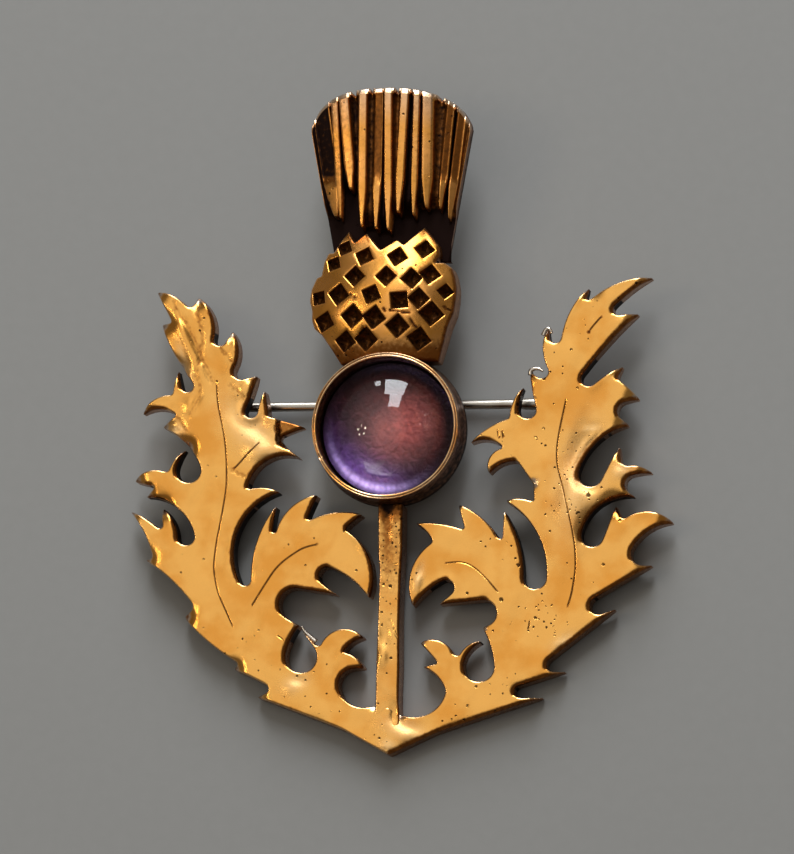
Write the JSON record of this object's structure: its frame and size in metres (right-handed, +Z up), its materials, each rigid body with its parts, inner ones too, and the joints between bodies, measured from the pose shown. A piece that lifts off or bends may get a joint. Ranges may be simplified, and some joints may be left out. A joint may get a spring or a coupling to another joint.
{
  "type": "brooch",
  "caption": "Thistle-shaped brooch with pierced thorny leaves around a stem, a pitted calyx, a fluted tuft, a domed glass cabochon in a round collar and a hinged pin behind.",
  "frame": {"origin": "middle of the bounding box, on the surface the brooch lies on", "axes": "+X to the wearer's left as the brooch is seen from the front, +Y from the lower point to the tuft, +Z up out of the front of the brooch, which lies face up on its back"},
  "size_m": [0.0482, 0.0586, 0.0099],
  "materials": {
    "frame_metal": "polished, with dark patina in the hollows",
    "stone_glass": "high polish",
    "foil": "crinkled foil",
    "pin_metal": "drawn wire"
  },
  "bodies": {
    "brooch": {"thistle_frame": "frame_metal", "cabochon": "stone_glass", "foil_disc": "foil", "hinge_rivet": "pin_metal"},
    "pin": {"pin_stem": "pin_metal"}
  },
  "joints": [
    {"name": "pin_swing", "type": "hinge", "parent": "brooch", "child": "pin", "pos_m": [0.01426, 0.00214, 0.00106], "axis": [-0.0157, -0.9953, -0.096], "range_deg": [0, 110]}
  ]
}
